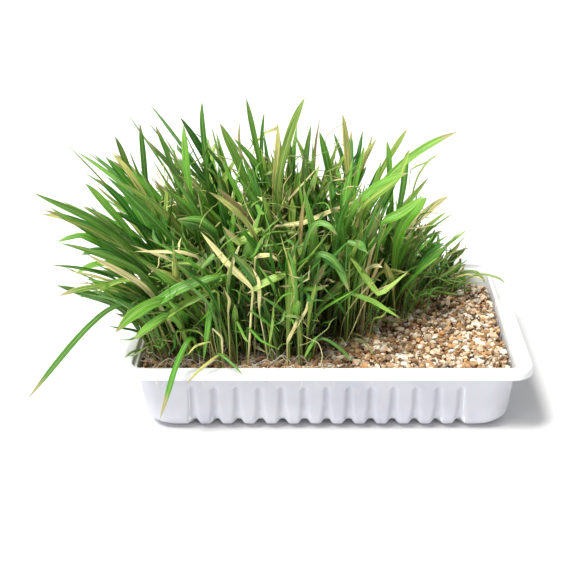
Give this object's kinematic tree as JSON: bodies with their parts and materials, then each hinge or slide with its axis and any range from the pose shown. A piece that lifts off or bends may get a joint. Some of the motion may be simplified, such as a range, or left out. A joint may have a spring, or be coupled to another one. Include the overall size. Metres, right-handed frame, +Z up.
{
  "type": "wheatgrass tray",
  "caption": "Moulded white tray with fluted walls, filled with mineral granules, with a leaning stand of young wheatgrass growing in bunches over its left part",
  "frame": {"origin": "middle of the flat underside of the tray, on the surface it stands on", "axes": "+X along the long side of the tray towards its bare end, +Y to the back, +Z up"},
  "size_m": [0.283, 0.1689, 0.175],
  "materials": {
    "tray_plastic": "thin white moulded plastic sheet, smooth with a soft gloss, slightly translucent",
    "granules": "matt expanded mineral granules, cream, tan and rusty brown",
    "grass": "living leaf with fine parallel veins, satin, pale at the base, some tips yellow or dry"
  },
  "bodies": {
    "root": {"tray": "tray_plastic", "granule_bed": "granules", "grass_bunch_01": "grass", "grass_bunch_02": "grass", "grass_bunch_03": "grass", "grass_bunch_04": "grass", "grass_bunch_05": "grass", "grass_bunch_06": "grass", "grass_bunch_07": "grass", "grass_bunch_08": "grass", "grass_bunch_09": "grass", "grass_bunch_10": "grass", "grass_bunch_11": "grass", "grass_bunch_12": "grass", "grass_bunch_13": "grass", "grass_bunch_14": "grass", "grass_bunch_15": "grass", "grass_bunch_16": "grass", "grass_bunch_17": "grass", "grass_bunch_18": "grass"}
  },
  "joints": []
}
